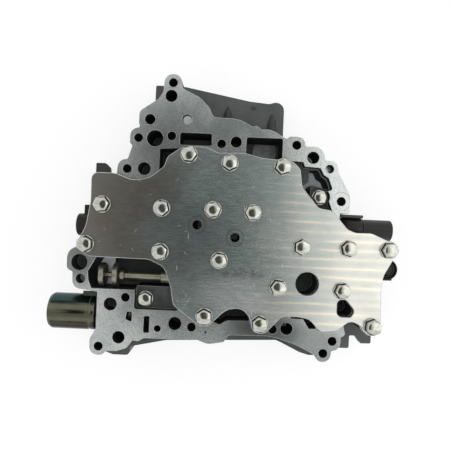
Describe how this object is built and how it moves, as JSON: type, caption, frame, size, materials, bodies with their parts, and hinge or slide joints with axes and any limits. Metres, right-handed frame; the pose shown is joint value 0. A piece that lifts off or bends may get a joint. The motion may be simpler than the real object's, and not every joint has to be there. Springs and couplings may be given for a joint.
{
  "type": "transmission valve body",
  "caption": "Hydraulic control block of a gearbox: two castings with a sheet between, a bolted cover plate, oil ports, a sliding selector valve and side solenoids.",
  "frame": {"origin": "middle of the overall box on the resting face", "axes": "+Z out of the machined face, +X along the valve bores towards the end with the upright solenoid, +Y towards the open flange"},
  "size_m": [0.2708, 0.2264, 0.0695],
  "materials": {
    "machined_aluminium": "machined face, cast sides",
    "dark_casting": "as cast, matte",
    "sheet_steel": "flat sheet",
    "plate_aluminium": "ground, worn",
    "bolt_zinc": "bright zinc",
    "valve_steel": "ground",
    "spring_steel": "drawn wire",
    "can_steel": "drawn steel",
    "black_plastic": "moulded",
    "bracket_steel": "dark phosphate",
    "seal_rubber": "matte"
  },
  "bodies": {
    "valve_body": {"lower_body": "dark_casting", "separator_plate": "sheet_steel", "upper_body": "machined_aluminium", "cover_plate": "plate_aluminium", "cover_bolts": "bolt_zinc", "body_bolts": "bolt_zinc", "dowel_pins": "bolt_zinc", "check_balls": "bolt_zinc", "regulator_spring": "spring_steel", "regulator_plug": "machined_aluminium", "shift_spring": "spring_steel", "shift_plug": "machined_aluminium", "lockup_spring": "spring_steel", "lockup_plug": "machined_aluminium", "plug_keys": "sheet_steel", "accumulator_spring": "spring_steel", "line_solenoid_can": "can_steel", "line_solenoid_nozzle": "machined_aluminium", "line_solenoid_o_rings": "seal_rubber", "line_solenoid_bracket": "bracket_steel", "left_solenoid": "black_plastic", "right_solenoid": "black_plastic", "right_solenoid_bracket": "bracket_steel", "upright_solenoid": "black_plastic"},
    "manual_valve": {"manual_valve": "valve_steel"},
    "regulator_valve": {"regulator_valve": "valve_steel"},
    "shift_valve": {"shift_valve": "valve_steel"},
    "lockup_valve": {"lockup_valve": "valve_steel"},
    "accumulator_piston": {"accumulator_piston": "plate_aluminium", "accumulator_ring": "seal_rubber"}
  },
  "joints": [
    {"name": "manual_slide", "type": "slide", "parent": "valve_body", "child": "manual_valve", "axis": [1, 0, 0], "range_m": [-0.003, 0.012]},
    {"name": "regulator_slide", "type": "slide", "parent": "valve_body", "child": "regulator_valve", "axis": [-1, 0, 0], "range_m": [0, 0.005], "stiffness_N_per_m": 400, "springref_m": -0.003, "deforming": ["regulator_spring"]},
    {"name": "shift_slide", "type": "slide", "parent": "valve_body", "child": "shift_valve", "axis": [1, 0, 0], "range_m": [0, 0.005], "stiffness_N_per_m": 400, "springref_m": -0.003, "deforming": ["shift_spring"]},
    {"name": "lockup_slide", "type": "slide", "parent": "valve_body", "child": "lockup_valve", "axis": [-1, 0, 0], "range_m": [0, 0.005], "stiffness_N_per_m": 400, "springref_m": -0.003, "deforming": ["lockup_spring"]},
    {"name": "accumulator_slide", "type": "slide", "parent": "valve_body", "child": "accumulator_piston", "axis": [0, 0, -1], "range_m": [0, 0.005], "stiffness_N_per_m": 800, "springref_m": -0.003, "deforming": ["accumulator_spring"]}
  ]
}
